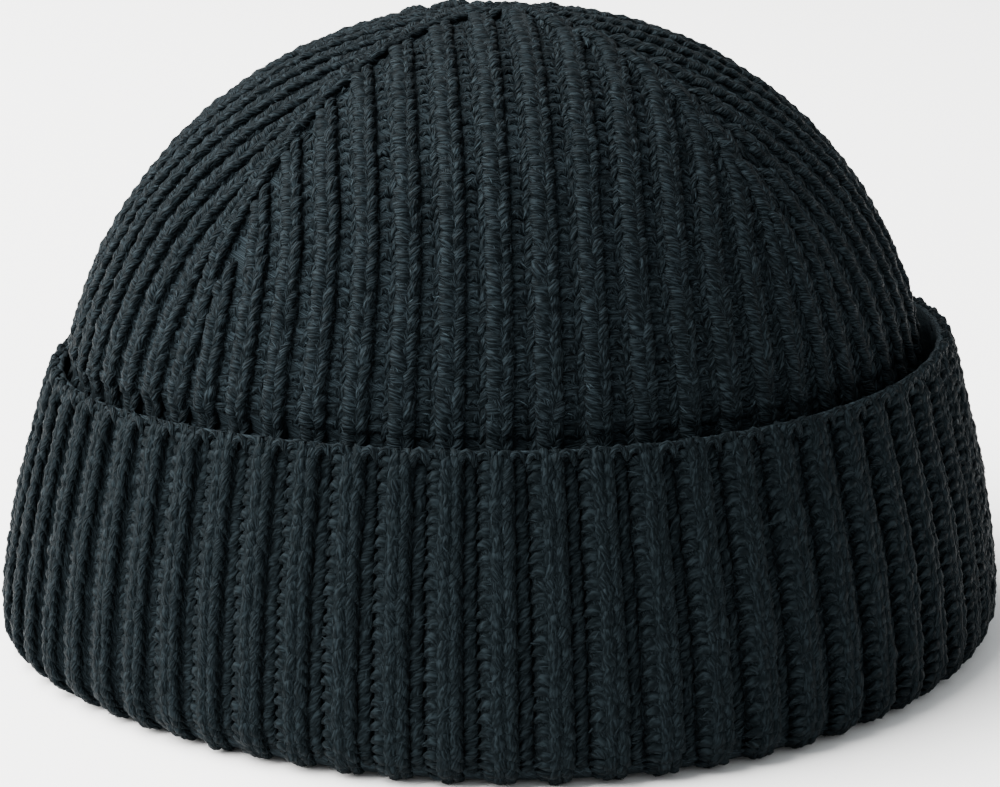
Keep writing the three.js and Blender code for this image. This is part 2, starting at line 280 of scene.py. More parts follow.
class Yarn:
    """Gathers short lengths of yarn, strips and fine fibres, and makes one mesh of them."""

    def __init__(self):
        self.points = []
        self.quads = []
        self.caps = []
        self.quad_uvs = []
        self.cap_uvs = []
        self.total = 0

    def lay(self, centre, outward, half_width, half_depth, twist, sides):
        """Lengths of yarn. centre and outward are lengths by rings by 3, the halves lengths by rings."""
        many, rings, _ = centre.shape
        turn = CORNERS[sides]
        along = unit(np.gradient(centre, axis=1))
        side = unit(np.cross(along, outward))
        out = unit(np.cross(side, along))
        rim = side[:, :, None, :] * (np.sin(turn)[None, None, :] * half_width[:, :, None])[..., None]
        rim = rim - out[:, :, None, :] * (np.cos(turn)[None, None, :] * half_depth[:, :, None])[..., None]
        points = centre[:, :, None, :] + rim
        base = self.total + (np.arange(many) * rings * sides)[:, None, None]
        low = base + np.arange(rings - 1)[None, :, None] * sides
        high = low + sides
        corner = np.arange(sides)[None, None, :]
        beside = (corner + 1) % sides
        quads = np.stack([low + corner, low + beside, high + beside, high + corner], -1)
        self.quads.append(quads.reshape(-1, 4))
        first = base[:, :, 0] + np.arange(sides)[::-1][None, :]
        last = base[:, :, 0] + (rings - 1) * sides + np.arange(sides)[None, :]
        self.caps.append(np.concatenate([first, last]))
        steps = np.linalg.norm(np.diff(centre, axis=1), axis=-1)
        travel = np.concatenate([np.zeros((many, 1)), np.cumsum(steps, 1)], 1)
        breadth = half_width[:, :1, None] + half_depth[:, :1, None]
        around = np.append(turn, TURN)[None, None, :] * breadth / 2
        shift = rng.uniform(0, PATTERN_SHIFT, (many, 1, 1))
        angle = np.radians(twist)
        across_fibre = travel[:, :, None] * np.sin(angle) + around * np.cos(angle) + shift
        along_fibre = travel[:, :, None] * np.cos(angle) - around * np.sin(angle) + shift * SHIFT_ALONG
        uv = np.stack([across_fibre, along_fibre], -1)
        quad_uvs = np.stack([uv[:, :-1, :-1], uv[:, :-1, 1:], uv[:, 1:, 1:], uv[:, 1:, :-1]], 3)
        self.quad_uvs.append(quad_uvs.reshape(-1, 2))
        self.cap_uvs.append(np.concatenate([uv[:, 0, :-1][:, ::-1], uv[:, -1, :-1]]).reshape(-1, 2))
        self.points.append(points.reshape(-1, 3))
        self.total += many * rings * sides

    def sheet(self, points, uv):
        """An open strip, rows by columns, with its normals outward."""
        rows, columns, _ = points.shape
        row = np.arange(rows - 1)[:, None]
        column = np.arange(columns - 1)[None, :]
        first = self.total + row * columns + column
        quads = np.stack([first, first + 1, first + columns + 1, first + columns], -1)
        self.quads.append(quads.reshape(-1, 4))
        quad_uvs = np.stack([uv[:-1, :-1], uv[:-1, 1:], uv[1:, 1:], uv[1:, :-1]], 2)
        self.quad_uvs.append(quad_uvs.reshape(-1, 2))
        self.points.append(points.reshape(-1, 3))
        self.total += rows * columns

    def hairs(self, centre, outward, half_width, half_depth, twist, count):
        """Fine fibres on the outer side of the same lengths of yarn, count of them on each."""
        many, rings, _ = centre.shape
        along = unit(np.gradient(centre, axis=1))
        side = unit(np.cross(along, outward))
        out = unit(np.cross(side, along))
        pick = np.repeat(np.arange(many), count)
        total = len(pick)
        ring = rng.integers(0, rings - 1, total)
        share = rng.uniform(0, 1, (total, 1))

        def mixed(values):
            return values[pick, ring] * (1 - share) + values[pick, ring + 1] * share

        along = mixed(along)
        side = mixed(side)
        out = mixed(out)
        wide = mixed(half_width[..., None])
        deep = mixed(half_depth[..., None])
        turn = np.radians(rng.normal(HAIR_PLACE, HAIR_PLACE_SPREAD, (total, 1)))
        sine = np.sin(turn)
        cosine = np.cos(turn)
        normal = unit(side * sine / wide - out * cosine / deep)
        around = unit(side * cosine * wide + out * sine * deep)
        angle = np.radians(twist[pick, 0] + rng.normal(0, HAIR_SPREAD, (total, 1)))
        lean = np.radians(rng.normal(0, HAIR_LEAN, (total, 1)))
        flat = along * np.cos(angle) - around * np.sin(angle)
        reach = (flat * np.cos(lean) + normal * np.sin(lean)) * rng.uniform(*HAIR_LENGTH, (total, 1)) / 2
        edge = unit(np.cross(flat, normal)) * rng.uniform(*HAIR_WIDTH, (total, 1)) / 2
        middle = mixed(centre) + side * sine * wide - out * cosine * deep + normal * HAIR_OFF
        points = np.stack([middle - reach, middle + edge, middle + reach, middle - edge], 1)
        self.quads.append(self.total + np.arange(total * 4).reshape(-1, 4))
        self.quad_uvs.append(np.repeat(rng.uniform(0, PATTERN_SHIFT, (total, 2)), 4, axis=0))
        self.points.append(points.reshape(-1, 3))
        self.total += total * 4

    def mesh(self, name):
        points = np.concatenate(self.points)
        faces = [np.concatenate(self.quads), *self.caps]
        return make_mesh(name, points, faces, np.concatenate(self.quad_uvs + self.cap_uvs))


UV_NAME = "fibres"


def make_mesh(name, points, faces, uvs):
    """A smooth mesh. faces holds arrays of corner numbers, one row for each face."""
    mesh = bpy.data.meshes.new(name)
    mesh.vertices.add(len(points))
    mesh.vertices.foreach_set("co", (points * MM).astype(np.float32).ravel())
    corners = np.concatenate([part.ravel() for part in faces]).astype(np.int32)
    sizes = np.concatenate([np.full(len(part), part.shape[1]) for part in faces])
    starts = np.concatenate([[0], np.cumsum(sizes)[:-1]]).astype(np.int32)
    mesh.loops.add(len(corners))
    mesh.loops.foreach_set("vertex_index", corners)
    mesh.polygons.add(len(sizes))
    mesh.polygons.foreach_set("loop_start", starts)
    layer = mesh.uv_layers.new(name=UV_NAME)
    layer.uv.foreach_set("vector", uvs.astype(np.float32).ravel())
    mesh.update(calc_edges=True)
    mesh.validate()
    mesh.polygons.foreach_set("use_smooth", np.ones(len(mesh.polygons), bool))
    return mesh


def make_piece(mesh, material, node):
    piece = bpy.data.objects.new(mesh.name, mesh)
    bpy.context.scene.collection.objects.link(piece)
    mesh.materials.append(material)
    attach(piece, "root")
    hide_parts(node)


# Yarn materials: fine strands along each length of yarn, with painted glints where the strands reach their
# light colour, and uneven dye
YARN_SHADER = {
    "Roughness": 0.5,
    "Specular IOR Level": 0.014,
    "Specular Tint": (0.62, 0.88, 1.0, 1.0),
    "Sheen Weight": 0.003,
    "Sheen Roughness": 0.5,
}
STRAND_NOISE = {"Scale": 1.0, "Roughness": 0.7, "Distortion": 0.3}
FINE_STRETCH = (5.2, 0.75, 1.0)
FINE_DETAIL = 0.5
COARSE_STRETCH = (1.9, 0.4, 1.0)
COARSE_DETAIL = 2.0
COARSE_SHARE = 0.1
DYE_NOISE = {"Scale": 900.0, "Detail": 2.0}
DYE_SHARE = 0.06
DARK_AT = 0.44
LIGHT_AT = 0.66
RELIEF_STRENGTH = 1.0


def set_sockets(node, values):
    for name, value in values.items():
        node.inputs[name].default_value = value


def strand_noise(tree, uv, stretch, detail):
    mapping = tree.nodes.new("ShaderNodeMapping")
    noise = tree.nodes.new("ShaderNodeTexNoise")
    set_sockets(mapping, {"Scale": stretch})
    set_sockets(noise, {**STRAND_NOISE, "Detail": detail})
    tree.links.new(uv, mapping.inputs["Vector"])
    tree.links.new(mapping.outputs["Vector"], noise.inputs["Vector"])
    return noise.outputs["Fac"]


def blended(tree, a, b, share):
    blend = tree.nodes.new("ShaderNodeMix")
    blend.data_type = "FLOAT"
    set_sockets(blend, {"Factor": share})
    tree.links.new(a, blend.inputs["A"])
    tree.links.new(b, blend.inputs["B"])
    return blend.outputs["Result"]


def yarn_material(name, dark, strand_and_glint, relief_depth):
    """dark is the strands' dark colour and the other their light colour, which is partly painted glint on
    the fibres; relief_depth is in metres.
    """
    material = bpy.data.materials.new(name)
    material.use_nodes = True
    tree = material.node_tree
    shader = tree.nodes["Principled BSDF"]
    set_sockets(shader, YARN_SHADER)
    uv = tree.nodes.new("ShaderNodeUVMap")
    uv.uv_map = UV_NAME
    fine = strand_noise(tree, uv.outputs["UV"], FINE_STRETCH, FINE_DETAIL)
    coarse = strand_noise(tree, uv.outputs["UV"], COARSE_STRETCH, COARSE_DETAIL)
    strands = blended(tree, fine, coarse, COARSE_SHARE)
    coords = tree.nodes.new("ShaderNodeTexCoord")
    dye = tree.nodes.new("ShaderNodeTexNoise")
    set_sockets(dye, DYE_NOISE)
    tree.links.new(coords.outputs["Object"], dye.inputs["Vector"])
    # The strands' light end stands for fibre glints: painted highlights over the strands' own uneven tone.
    ramp = tree.nodes.new("ShaderNodeValToRGB")
    ramp.color_ramp.elements[0].position = DARK_AT
    ramp.color_ramp.elements[0].color = (*dark, 1)
    ramp.color_ramp.elements[1].position = LIGHT_AT
    ramp.color_ramp.elements[1].color = (*strand_and_glint, 1)
    tree.links.new(blended(tree, strands, dye.outputs["Fac"], DYE_SHARE), ramp.inputs["Fac"])
    tree.links.new(ramp.outputs["Color"], shader.inputs["Base Color"])
    relief = tree.nodes.new("ShaderNodeBump")
    set_sockets(relief, {"Strength": RELIEF_STRENGTH, "Distance": relief_depth})
    tree.links.new(strands, relief.inputs["Height"])
    tree.links.new(relief.outputs["Normal"], shader.inputs["Normal"])
    return material


YARN = yarn_material(
    "knit_yarn", dark=(0.0018, 0.0026, 0.0031), strand_and_glint=(0.0089, 0.0130, 0.0156), relief_depth=0.0006,
)
# Cuff yarn and its fibres: the same yarn as the crown's, made darker and calmer as painted shade for the
# cuff, which gets less light from above.
CUFF_YARN_PAINTED_SHADE = yarn_material(
    "cuff_yarn_painted_shade", dark=(0.0021, 0.0031, 0.0037), strand_and_glint=(0.0067, 0.0098, 0.0117), relief_depth=0.0005,
)
# Stray fibres: real fibres, coloured brighter than the yarn as painted glints on them.
FUZZ_AND_GLINT = yarn_material(
    "knit_fuzz_and_glint", dark=(0.0032, 0.0047, 0.0057), strand_and_glint=(0.0150, 0.0218, 0.0260), relief_depth=0.0,
)
CUFF_FUZZ_PAINTED_SHADE = yarn_material(
    "cuff_fuzz_painted_shade", dark=(0.0030, 0.0044, 0.0053), strand_and_glint=(0.0092, 0.0134, 0.0160), relief_depth=0.0,
)
# Backing: a little lighter than the yarn, painted fill light so that the deepest gaps between the stitches
# aren't black.
BACKING_PAINTED_FILL = yarn_material(
    "knit_backing_painted_fill", dark=(0.0044, 0.0064, 0.0077), strand_and_glint=(0.0140, 0.0204, 0.0244), relief_depth=0.0004,
)

# Plan radius inside which the ribs run parallel: by gore and side of it, and of all the others
PARALLEL_RADII = {(0, -1): 78.0, (0, 1): 80.5}
PARALLEL_RADIUS = 77.0

# How the ribs meet a decrease line: how near, how gradually, how far they run on there and their rise
HOOKED = {"near": 2.3, "bend": 2.6, "run": 9.0, "lift": 0.9}
BESIDE = {"near": 4.0, "bend": 3.0, "run": 6.0, "lift": 0.0}
CHAINED = {"near": 2.4, "bend": 5.0, "run": 13.0, "lift": -0.1}
STOPPING_GORES = (0, 2)
STOP_AT = 0.2
LINE_START = 2.0
NEAR_TAPER = 14
LEAST_NEAR = 0.35
BEND_RADII = (72.0, 82.0)
LIFT_BETWEEN = (0.5, 4.0)

# Course of a rib in plan: its low part by degrees from the top, then steps inward across the gore
LOW_DEGREES = (95, 76)
LOW_POINTS = 60
COURSE_STEP = 0.5
COURSE_END = -45
COURSE_ROUNDS = 12

# Width of a rib on the crown
LEAST_RADIUS = 25
MOST_SIDEWAYS = 0.9
MOST_WIDTH = 8.8
NARROWING = 0.25
NARROW_BETWEEN = (0.5, 5.0)
SMALL_ANGLE = 1e-3


def across_at(angle, radius, parallel):
    """Place across the gore of a rib at a plan radius, with a gradual turn to parallel ribs."""
    over = radius - parallel
    turning = (over + SWING_REACH) ** 2 / (4 * SWING_REACH)
    return np.sin(angle) * (parallel + np.where(np.abs(over) < SWING_REACH, turning, np.maximum(over, 0)))


def is_stopped(gore, at):
    """Whether the rib at that place of a gore ends against its decrease line."""
    return gore in STOPPING_GORES and at < 0


def meeting(gore, at):
    """How the rib at that place of a gore runs on beside its decrease line, unless it is stopped."""
    if at < 0:
        return BESIDE
    return HOOKED if gore in STOPPING_GORES else CHAINED


def rib_course(angle, parallel):
    """A rib's course in plan, outward and across its gore, and the angles from the top of its low part."""
    tops = np.radians(np.linspace(*LOW_DEGREES, LOW_POINTS))
    reach = crown_reach(np.degrees(tops))
    radius = reach * np.sin(tops)
    plan = np.where(tops > WIDEST, reach, radius)
    offset = np.arcsin(across_at(angle, plan, parallel) / plan)
    low_out = radius * np.cos(offset)
    high_out = np.arange(low_out[-1] - COURSE_STEP, COURSE_END, -COURSE_STEP)
    high_across = np.full(len(high_out), radius[-1] * math.sin(offset[-1]))
    for _ in range(COURSE_ROUNDS):
        high_across = across_at(angle, np.hypot(high_out, high_across), parallel)
    out = np.concatenate([low_out, high_out])
    across = np.abs(np.concatenate([radius * np.sin(offset), high_across]))
    return out, across, np.concatenate([tops, np.zeros(len(high_out))])


def rib_width(gore, at, parallel, points, radius, tops):
    """Distance over the crown from one side of a rib to the other."""
    along = unit(np.gradient(points, axis=0))
    radius = np.maximum(radius, LEAST_RADIUS)
    plan = np.where(tops > WIDEST, crown_reach(90.0), radius)
    span_tops = np.where(tops > WIDEST, tops, from_top_at(radius))
    edges = []
    for beside in (-0.5, 0.5):
        sideways = across_at(gore_angle(at + beside), plan, parallel) / plan
        turned = np.arcsin(np.clip(sideways, -MOST_SIDEWAYS, MOST_SIDEWAYS))
        edges.append(crown_point(gore_middle(gore) + turned, span_tops))
    span = edges[1] - edges[0]
    span = span - along * np.sum(span * along, 1, keepdims=True)
    return np.minimum(np.linalg.norm(span, axis=1), MOST_WIDTH)


def crown_path(gore, at):
    """Points, outward directions and widths of the rib at that place of a gore, up to its end."""
    sign = 1 if at > 0 else -1
    parallel = PARALLEL_RADII.get((gore, sign), PARALLEL_RADIUS)
    out, across, tops = rib_course(gore_angle(at), parallel)
    along_line = (out + across) / math.sqrt(2)
    from_line = (out - across) / math.sqrt(2)
    meet = meeting(gore, at)
    if is_stopped(gore, at):
        moved = from_line
        keep = (from_line > STOP_AT) & (along_line > LINE_START)
    else:
        bend = meet["bend"] * (1 - smooth_step(np.hypot(out, across), *BEND_RADII))
        near = meet["near"] * np.clip(along_line / NEAR_TAPER, LEAST_NEAR, 1)
        moved = (from_line + near + np.hypot(from_line - near, bend)) / 2
        keep = (from_line > near - meet["run"]) & (along_line > LINE_START)
    last = len(keep) if keep.all() else np.argmin(keep)
    out = ((along_line + moved) / math.sqrt(2))[:last]
    across = ((along_line - moved) / math.sqrt(2))[:last]
    tops = tops[:last]
    radius = np.hypot(out, across)
    tops = np.where(tops > WIDEST, tops, from_top_at(radius))
    azimuth = gore_middle(gore) + sign * np.arctan2(across, out)
    beside = (moved - from_line)[:last]
    lift = meet["lift"] * smooth_step(beside, *LIFT_BETWEEN)
    points = crown_point(azimuth, tops, lift)
    around = crown_point(azimuth + SMALL_ANGLE, tops, lift) - points
    upward = crown_point(azimuth, tops - SMALL_ANGLE, lift) - points
    width = rib_width(gore, at, parallel, points, radius, tops)
    width = width * (1 - NARROWING * smooth_step(beside, *NARROW_BETWEEN))
    return points, unit(np.cross(around, upward)), width


def crown_paths():
    """One path for each rib, from inside the cuff up to its end at a decrease line."""
    paths = Paths()
    for gore in range(GORES):
        for at in RIB_PLACES:
            paths.add(*crown_path(gore, at))
    return paths.close()


# Section of the cuff's outside through its fold and over its edge: inset, and height or depth under the edge
FOLD_LINE = [
    (8.7, 3.6), (8.4, 2.1), (7.6, 0.9), (6.3, 0.1), (5.3, 0.0),
    (4.2, 0.15), (2.6, 1.0), (1.3, 2.5), (0.4, 4.5), (0.0, 6.8),
]
EDGE_LINE = [
    (0.0, 4.5), (0.25, 2.6), (0.7, 1.2), (1.3, 0.35), (2.0, 0.0),
    (2.8, 0.15), (3.5, 0.9), (4.1, 2.2), (4.2, 5.0),
]
FOLD_POINTS = 60
WALL_POINTS = 60
EDGE_POINTS = 40
EDGE_BACK = 6.2


def cuff_paths():
    """One path for each rib, from the fold's inner side up over the edge."""
    paths = Paths()
    for rib in range(RIBS):
        angle = FRONT + CUFF_RIB_TURN + rib * TURN / RIBS
        top = cuff_top(angle)
        fold = control_curve(FOLD_LINE, np.linspace(0, 1, FOLD_POINTS))
        heights = np.linspace(FOLD_LINE[-1][1], top - EDGE_LINE[0][1], WALL_POINTS + 2)[1:-1]
        wall = np.stack([np.zeros(WALL_POINTS), heights], 1)
        edge = control_curve(EDGE_LINE, np.linspace(0, 1, EDGE_POINTS))
        edge = np.stack([edge[:, 0], top - edge[:, 1]], 1)
        section = np.concatenate([fold, wall, edge])
        radius = cuff_radius(angle, section[:, 1]) - section[:, 0]
        points = np.stack([radius * np.cos(angle) + CENTRE_X, radius * np.sin(angle), section[:, 1]], 1)
        along = unit(np.gradient(points, axis=0))
        side = np.array([-np.sin(angle), np.cos(angle), 0.0])
        paths.add(points, unit(np.cross(side, along)), radius * TURN / RIBS)
    return paths.close()


# Yarn lengths of one stitch: points as side (mm), up (in rows) and depth (mm), sizes in mm
CROWN_LEG = (0.45, 0.85, 1.0, 0.85, 0.45)
CUFF_LEG = (0.45, 0.85, 1.0, 0.9, 0.5)
CUFF_TIE = (0.3, 0.62, 0.95, 1.0, 0.8)
SHORT_LENGTH = (0.5, 1.0, 1.0, 0.55)
CROWN_STITCH = {
    "left_leg": {
        "line": [
            (0.35, -0.40, -2.1), (0.1, 0.0, -1.1), (-0.4, 0.5, -0.85),
            (-0.9, 1.0, -1.1), (-1.25, 1.35, -2.0),
        ],
        "half_width": 1.5, "half_depth": 0.85, "twist": -36, "profile": CROWN_LEG, "sides": 6, "hairs": 4,
    },
    "right_leg": {
        "line": [
            (0.85, -0.45, -2.2), (1.1, 0.0, -1.3), (1.5, 0.5, -1.05),
            (1.85, 0.95, -1.3), (2.15, 1.3, -2.2),
        ],
        "half_width": 1.2, "half_depth": 0.9, "twist": 14, "profile": CROWN_LEG, "sides": 6, "hairs": 3,
    },
    "left_tie": {
        "line": [(-2.8, -0.35, -2.9), (-2.45, 0.1, -2.4), (-1.95, 0.6, -2.0), (-1.3, 1.15, -1.95)],
        "half_width": 0.95, "half_depth": 0.85, "twist": 8, "profile": SHORT_LENGTH, "sides": 5, "hairs": 3,
    },
    "purl": {
        "line": [(2.5, -0.15, -2.7), (3.3, 0.4, -2.3), (4.4, 0.45, -2.3), (5.4, -0.1, -2.7)],
        "half_width": 1.45, "half_depth": 0.65, "twist": 0, "profile": SHORT_LENGTH, "sides": 5, "hairs": 3,
    },
}
CUFF_STITCH = {
    "middle_leg": {
        "line": [
            (-0.5, -0.6, -1.9), (-0.25, 0.0, -1.2), (0.1, 0.55, -1.0),
            (0.45, 1.1, -1.15), (0.8, 1.65, -1.8),
        ],
        "half_width": 1.35, "half_depth": 0.85, "twist": -10, "profile": CUFF_LEG, "sides": 6, "hairs": 3,
    },
    "right_leg": {
        "line": [
            (2.7, -0.6, -2.4), (2.5, 0.0, -1.5), (2.15, 0.55, -1.15),
            (1.85, 1.1, -1.2), (1.5, 1.6, -1.9),
        ],
        "half_width": 1.15, "half_depth": 0.9, "twist": 22, "profile": CUFF_LEG, "sides": 6, "hairs": 3,
    },
    "left_tie": {
        "line": [
            (-3.3, 0.05, -2.5), (-2.75, 0.3, -1.75), (-2.0, 0.5, -1.3),
            (-1.1, 0.5, -1.25), (-0.2, 0.3, -1.7),
        ],
        "half_width": 1.15, "half_depth": 0.65, "twist": 6, "profile": CUFF_TIE, "sides": 6, "hairs": 3,
    },
    "purl": {
        "line": [(-5.7, -0.6, -3.2), (-5.1, 0.0, -2.8), (-4.4, 0.6, -2.75), (-3.7, 1.2, -3.0)],
        "half_width": 1.15, "half_depth": 0.65, "twist": 10, "profile": SHORT_LENGTH, "sides": 5, "hairs": 2,
    },
}

# Rounded body of a rib under its stitches: side and depth
CROWN_BODY = [
    (-3.4, -3.0), (-2.8, -2.3), (-1.9, -1.55), (-0.7, -0.5),
    (0.8, -0.42), (1.9, -0.8), (2.7, -1.8), (3.2, -3.0),
]
CUFF_BODY = [
    (-3.2, -3.4), (-2.7, -2.1), (-1.9, -1.2), (-0.7, -0.65),
    (1.0, -0.55), (2.2, -0.95), (3.2, -2.0), (4.2, -3.2),
]

# Knit of the two parts: rib pitch, row height, taper of a rib's end and how much it narrows there
CROWN_KNIT = {
    "pitch": 8.2, "row": 3.25, "taper": 2.0, "narrowing": 0.5, "stitch": CROWN_STITCH, "body": CROWN_BODY,
}
CUFF_KNIT = {
    "pitch": 9.6, "row": 2.35, "taper": 0.8, "narrowing": 1.0, "stitch": CUFF_STITCH, "body": CUFF_BODY,
}

# Bodies of the ribs, and the floor that they stay above
BODY_STEP = 3.2
BODY_TAPER = 2.0
BODY_END_WIDTH = 0.75
BODY_END_DROP = 0.8
BODY_FLOOR = 0.8
BODY_UV_SLANT = 0.3
BODY_UV_SHIFT = 7.0

# Laying of the stitches: rows, differences from one stitch to the next, and the end of a rib
LEAST_ROWS = 2
SPARE_ROWS = 2
ROW_START = 0.3
SIDE_JITTER = 0.13
RING_JITTER = 0.05
UP_JITTER = 0.05
DEPTH_JITTER = 0.11
SIZE_JITTER = 0.06
TWIST_JITTER = 9
END_REACH = 0.8
END_SIZE = 0.5
SLANTED_END_SIZE = 0.4
END_DROP = 2.8
SCALE_LIMITS = (0.3, 1.15)
SCALE_POWER = 0.7
FLOOR_SHARE = 0.75

QUARTER_NAMES = ("front", "right", "back", "left")


class Knit:
    """The stitches of the crown or of the cuff, on the paths of their ribs."""

    def __init__(self, paths, lengths, slant, settings):
        self.paths = paths
        self.lengths = lengths
        self.slant = slant
        self.settings = settings
        self.rows = np.maximum(LEAST_ROWS, np.round(lengths / settings["row"]).astype(int))
        self.heights = lengths / self.rows

    def lay_bodies(self, yarn, which):
        section = np.array(self.settings["body"])
        side = section[None, :, 0]
        for rib in which:
            end = self.lengths[rib]
            share = np.linspace(0, 1, int(end / BODY_STEP) + 2)[:, None]
            s = share * (end + self.slant[rib] * side)
            left = np.clip((end - s) / BODY_TAPER, 0, 1)
            x = side * (BODY_END_WIDTH + (1 - BODY_END_WIDTH) * np.sqrt(left))
            depth = section[None, :, 1] - BODY_END_DROP * (1 - left) ** 2
            points, _ = self.paths.place(np.full(s.shape, rib), s, x, depth, self.settings["pitch"])
            points[..., 2] = np.maximum(points[..., 2], BODY_FLOOR)
            uv = np.stack([x + s * BODY_UV_SLANT + rib * BODY_UV_SHIFT, s - x * BODY_UV_SLANT], -1)
            yarn.sheet(points, uv)

    def lay_stitches(self, yarn, fuzz, which):
        """Lays every stitch of the ribs in which, with small differences from one to the next."""
        counts = self.rows[which] + SPARE_ROWS
        rib_index = np.repeat(which, counts)
        row_index = np.concatenate([np.arange(count) for count in counts])
        height = self.heights[rib_index]
        pitch = self.settings["pitch"]
        narrowing = self.settings["narrowing"]
        for part in self.settings["stitch"].values():
            profile = np.array(part["profile"])
            rings = len(profile)
            line = control_curve(part["line"], np.linspace(0, 1, rings))
            end = self.rows[rib_index] * height + self.slant[rib_index] * line[:, 0].mean()
            used = (row_index + ROW_START) * height < end
            ribs = rib_index[used]
            many = len(ribs)
            x = line[None, :, 0] + rng.normal(0, SIDE_JITTER, (many, 1))
            x = x + rng.normal(0, RING_JITTER, (many, rings))
            up = row_index[used][:, None] + line[None, :, 1] + rng.normal(0, UP_JITTER, (many, 1))
            depth = line[None, :, 2] + rng.normal(0, DEPTH_JITTER, (many, 1))
            s = up * height[used][:, None]
            left = np.clip((end[used][:, None] + END_REACH - s) / self.settings["taper"], 0, 1)
            least = END_SIZE + SLANTED_END_SIZE * self.slant[ribs][:, None]
            shrink = least + (1 - least) * np.sqrt(left)
            x = x * (1 - narrowing + narrowing * shrink)
            depth = depth - END_DROP * (1 - least) * (1 - left) ** 2
            path = np.repeat(ribs[:, None], rings, 1)
            centre, outward = self.paths.place(path, s, x, depth, pitch)
            centre[..., 2] = np.maximum(centre[..., 2], part["half_depth"] * FLOOR_SHARE)
            scale = np.clip(self.paths.width_at(path, s) / pitch, *SCALE_LIMITS) ** SCALE_POWER
            size = rng.normal(1, SIZE_JITTER, (many, 1)) * profile[None, :] * shrink
            twist = part["twist"] + rng.normal(0, TWIST_JITTER, (many, 1, 1))
            wide = part["half_width"] * size * scale
            deep = part["half_depth"] * size
            yarn.lay(centre, outward, wide, deep, twist, part["sides"])
            fuzz.hairs(centre, outward, wide, deep, twist, part["hairs"])

    def make_pieces(self, node, first_rib, yarn_look, fuzz_look):
        """A piece for each quarter of the ribs, from first_rib on, and one for the fine fibres of all."""
        fuzz = Yarn()
        for quarter, quarter_name in enumerate(QUARTER_NAMES):
            yarn = Yarn()
            which = (np.arange(RIBS_PER_GORE) + quarter * RIBS_PER_GORE + first_rib) % RIBS
            self.lay_bodies(yarn, which)
            self.lay_stitches(yarn, fuzz, which)
            make_piece(yarn.mesh(node + "_knit_" + quarter_name), yarn_look, node)
        make_piece(fuzz.mesh(node + "_fibres"), fuzz_look, node)


# Top gather: short lengths of yarn that swirl in to the top
GATHER_LENGTHS = 14
GATHER_RADII = (0.6, 2.2, 4.4, 6.8, 9.0)
GATHER_LIFTS = (-2.6, -0.9, -0.6, -0.8, -1.9)
GATHER_HALVES = (0.5, 0.9, 1.15, 1.15, 0.7)
GATHER_FLATNESS = 0.8
GATHER_SWIRL = 0.5
GATHER_TURN_JITTER = 0.06
GATHER_RADIUS_JITTER = 0.25
GATHER_TWIST = 15.0
GATHER_SIDES = 6


def gather_mesh():
    turn = np.arange(GATHER_LENGTHS) * TURN / GATHER_LENGTHS
    turn = turn + rng.normal(0, GATHER_TURN_JITTER, GATHER_LENGTHS)
    radii = np.array(GATHER_RADII)[None, :] + rng.normal(0, GATHER_RADIUS_JITTER, (GATHER_LENGTHS, 1))
    azimuths = turn[:, None] + np.linspace(GATHER_SWIRL, 0, len(GATHER_RADII))[None, :]
    lifts = np.broadcast_to(GATHER_LIFTS, radii.shape)
    centre = crown_point(azimuths.ravel(), from_top_at(radii.ravel()), lifts.ravel())
    centre = centre.reshape(*radii.shape, 3)
    outward = np.broadcast_to((0.0, 0.0, 1.0), centre.shape)
    halves = np.broadcast_to(GATHER_HALVES, radii.shape)
    yarn = Yarn()
    yarn.lay(centre, outward, halves, halves * GATHER_FLATNESS, GATHER_TWIST, GATHER_SIDES)
    return yarn.mesh("crown_gather")


# Cast-on edge: small loops over the rim, above the valleys and beside the ribs
RIM_LOOPS = {
    "valley": {
        "line": [
            (2.7, -3.0, -1.9), (3.3, -1.0, -0.9), (4.4, -0.2, -0.6),
            (5.5, -0.8, -0.9), (6.1, -2.6, -1.9),
        ],
        "half": 0.78,
    },
    "left": {
        "line": [(-3.3, -1.6, -1.5), (-2.6, -0.3, -0.85), (-1.6, -0.1, -0.75), (-0.8, -1.3, -1.3)],
        "half": 0.6,
    },
    "right": {
        "line": [(0.6, -1.3, -1.3), (1.2, -0.2, -0.85), (2.1, -0.2, -0.85), (2.9, -1.4, -1.5)],
        "half": 0.55,
    },
}
RIM_PROFILE = np.array([0.7, 0.95, 1, 1, 1, 0.95, 0.7])
RIM_FROM_END = 7.4
RIM_JITTER = 0.2
RIM_DEPTH_JITTER = 0.08
RIM_SIZE_JITTER = 0.1
RIM_TWIST = 20.0
RIM_SIDES = 6


def rim_mesh(paths):
    rings = len(RIM_PROFILE)
    path = np.repeat(np.arange(RIBS)[:, None], rings, 1)
    yarn = Yarn()
    for loop in RIM_LOOPS.values():
        line = control_curve(loop["line"], np.linspace(0, 1, rings))
        x = line[None, :, 0] + rng.normal(0, RIM_JITTER, (RIBS, 1))
        s = (paths.length - RIM_FROM_END)[:, None] + line[None, :, 1] + rng.normal(0, RIM_JITTER, (RIBS, 1))
        depth = line[None, :, 2] + rng.normal(0, RIM_DEPTH_JITTER, (RIBS, 1))
        centre, outward = paths.place(path, s, x, depth, CUFF_KNIT["pitch"])
        size = loop["half"] * RIM_PROFILE[None, :] * rng.normal(1, RIM_SIZE_JITTER, (RIBS, 1))
        yarn.lay(centre, outward, size, size, RIM_TWIST, RIM_SIDES)
    return yarn.mesh("cuff_edge")


# Backing shells under the stitches, with the inside of the knit
SHELL_COLUMNS = 384
SHELL_UV_SLANT = 0.4
INSIDE_RIB = 0.6

# Crown's backing: depths under its outline, its lower end above the fold and its rows
CROWN_OUTSIDE = 2.15
CROWN_INSIDE = 3.6
CROWN_INSIDE_TOP = 4.0
CROWN_CLEARANCE = 0.35
HELD_ROWS = 6
DOME_ROWS = 40
DOME_TOP = 1.5

